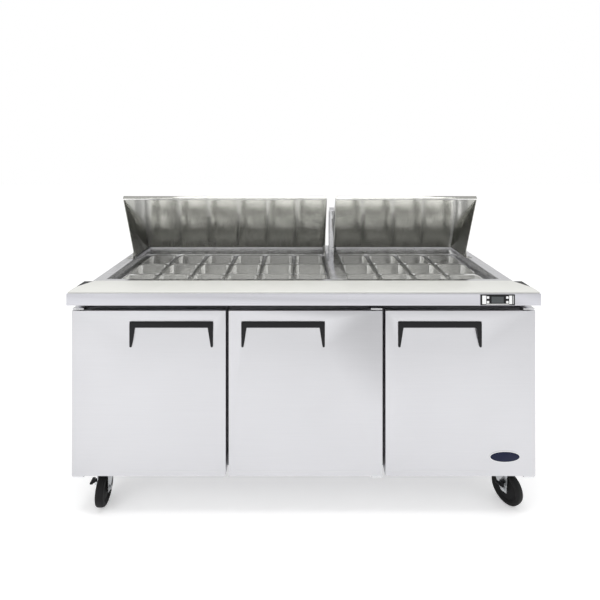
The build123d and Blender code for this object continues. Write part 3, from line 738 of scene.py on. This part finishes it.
def barAcross(name, startX, endX, corners, edge):
    # a bar along X whose cross-section has the given (y, z) corners
    bar = outlineSolid(name, [(startX, y, z) for y, z in corners], (endX - startX, 0, 0))
    applyModifier(
        bar, "BEVEL", width=edge, segments=2, limit_method="ANGLE", angle_limit=math.radians(40)
    )
    return bar


for side in ("left", "right"):
    low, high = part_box("lid_" + side)
    tip = Vector((low.y, high.z))
    downLid = (Vector((high.y, low.z)) - tip).normalized()
    inward = Vector((downLid.y, -downLid.x))
    root = tip + inward * (hem["panel"] - hem["bite"]) + downLid * hem["inset"]
    foot = root + downLid * hem["reach"]
    corners = [root, foot, foot + inward * hem["thick"], root + inward * hem["thick"]]
    strip = barAcross("lid_hem_" + side, low.x + 0.0012, high.x - 0.0012, corners, hem["edge"])
    dress(strip, "lid_" + side, panSteel)
print("hems made")


# pipework and fittings of the refrigeration machine
compressorLow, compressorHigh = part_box("compressor")
coilLow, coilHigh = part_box("condenser_coil")
pumpX = (compressorLow.x + compressorHigh.x) / 2
pumpY = (compressorLow.y + compressorHigh.y) / 2


def pipe(name, points, radius, look):
    # a run of round tube with a ball at each bend
    parts = [tubeAt(name, start, end, radius, 16) for start, end in zip(points, points[1:])]
    for bend in points[1:-1]:
        deselectAll()
        bpy.ops.mesh.primitive_uv_sphere_add(segments=16, ring_count=8, radius=radius * 1.02, location=bend)
        settle(bpy.context.object)
        parts.append(bpy.context.object)
    run = joinPieces(parts, name)
    dress(run, "cabinet", look, 60)
    return run


machineFittings = {  # metres, from the top and the axis of the compressor
    "stubs": 0.030,
    "stubRoot": 0.012,
    "dischargeRise": 0.050,
    "dischargeRadius": 0.004,
    "besideCoil": 0.012,
    "intoCoil": 0.004,
    "suctionRise": 0.110,
    "suctionEnd": 0.120,
    "suctionRadius": 0.006,
    "seamInner": 0.066,
    "seamOuter": 0.0705,
    "seamHalf": 0.004,
    "seamHeight": 0.110,
    "cover": ((-0.088, -0.064), (-0.022, 0.022), (0.055, 0.100)),
    "coverEdge": 0.003,
}
fit = machineFittings
stubZ = compressorHigh.z - fit["stubRoot"]
dischargeX = pumpX + fit["stubs"]
dischargeZ = compressorHigh.z + fit["dischargeRise"]
coilSide = coilLow.x - fit["besideCoil"]
coilMid = (coilLow.y + coilHigh.y) / 2
pipe(
    "discharge_pipe",
    [
        (dischargeX, pumpY, stubZ), (dischargeX, pumpY, dischargeZ), (coilSide, pumpY, dischargeZ),
        (coilSide, coilMid, dischargeZ), (coilLow.x + fit["intoCoil"], coilMid, dischargeZ),
    ],
    fit["dischargeRadius"], copperTube,
)
suctionX = pumpX - fit["stubs"]
suctionZ = compressorHigh.z + fit["suctionRise"]
pipe(
    "suction_pipe",
    [
        (suctionX, pumpY, stubZ), (suctionX, pumpY, suctionZ),
        (pumpX - fit["suctionEnd"], pumpY, suctionZ),
    ],
    fit["suctionRadius"], copperTube,
)
inner, outer, half = fit["seamInner"], fit["seamOuter"], fit["seamHalf"]
seam = spinProfile(
    "compressor_seam", [(inner, -half), (outer, -half), (outer, half), (inner, half)],
    (pumpX, pumpY, compressorLow.z + fit["seamHeight"]), (0, 0, 1),
)
dress(seam, "cabinet", blackPaint, 40)
coverX, coverY, coverZ = fit["cover"]
terminal = cubeAt(
    "compressor_terminal_cover",
    (pumpX + coverX[0], pumpY + coverY[0], compressorLow.z + coverZ[0]),
    (pumpX + coverX[1], pumpY + coverY[1], compressorLow.z + coverZ[1]),
)
applyModifier(terminal, "BEVEL", width=fit["coverEdge"], segments=3)
dress(terminal, "cabinet", blackPlastic)
print("machine fittings made")


# camera, lights and floor
viewpoint = {"place": (-0.030, -2.127, 1.488), "lens": 26.16, "shift": (0.0067, -0.2675)}
camera = bpy.data.cameras.new("viewCamera")
camera.lens = viewpoint["lens"]
camera.sensor_width = 36
camera.shift_x, camera.shift_y = viewpoint["shift"]
cameraObject = bpy.data.objects.new("viewCamera", camera)
cameraObject.location = viewpoint["place"]
cameraObject.rotation_euler = (math.radians(90), 0, 0)
bpy.context.scene.collection.objects.link(cameraObject)
bpy.context.scene.camera = cameraObject

studio = {
    "keyBox": {"place": (-3.4, -3.0, 2.6), "aim": (0, 0, 0.6), "size": (1.8, 2.6), "power": 26},
    "fillBox": {"place": (3.6, -2.0, 2.4), "aim": (0.3, 0, 0.7), "size": (1.6, 2.4), "power": 8},
    "topBox": {"place": (0.0, -0.6, 3.4), "aim": (0, 0.1, 0.8), "size": (3.2, 1.0), "power": 40},
}
for name, lamp in studio.items():
    light = bpy.data.lights.new(name, "AREA")
    light.shape = "RECTANGLE"
    light.size, light.size_y = lamp["size"]
    light.energy = lamp["power"]
    lightObject = bpy.data.objects.new(name, light)
    lightObject.location = lamp["place"]
    aim = Vector(lamp["aim"]) - Vector(lamp["place"])
    lightObject.rotation_euler = aim.to_track_quat("-Z", "Y").to_euler()
    bpy.context.scene.collection.objects.link(lightObject)

# the backdrop is seen pure white and lights the table a little less strongly
roomLight = {"seen": 1.0, "cast": 0.80}
world = bpy.data.worlds.new("studioWhite")
world.use_nodes = True
backdrop = world.node_tree.nodes["Background"]
backdrop.inputs["Color"].default_value = (1, 1, 1, 1)
rays = world.node_tree.nodes.new("ShaderNodeLightPath")
strength = world.node_tree.nodes.new("ShaderNodeMapRange")
strength.inputs["To Min"].default_value = roomLight["cast"]
strength.inputs["To Max"].default_value = roomLight["seen"]
world.node_tree.links.new(rays.outputs["Is Camera Ray"], strength.inputs["Value"])
world.node_tree.links.new(strength.outputs["Result"], backdrop.inputs["Strength"])
bpy.context.scene.world = world

deselectAll()
floorSettings = {"size": 24, "colour": (0.90, 0.90, 0.90, 1), "roughness": 0.8, "glow": 0.30}
bpy.ops.mesh.primitive_plane_add(size=floorSettings["size"], location=(0, 0, 0))
floor = bpy.context.object
floor.name = "studioFloor"
floorLook = bpy.data.materials.new("paleFloor")
floorLook.use_nodes = True
floorShader = floorLook.node_tree.nodes["Principled BSDF"]
floorShader.inputs["Base Color"].default_value = floorSettings["colour"]
floorShader.inputs["Roughness"].default_value = floorSettings["roughness"]
floorShader.inputs["Emission Color"].default_value = (1, 1, 1, 1)
floorShader.inputs["Emission Strength"].default_value = floorSettings["glow"]
floor.data.materials.append(floorLook)
bpy.context.scene.view_settings.view_transform = "Standard"
print("studio set")
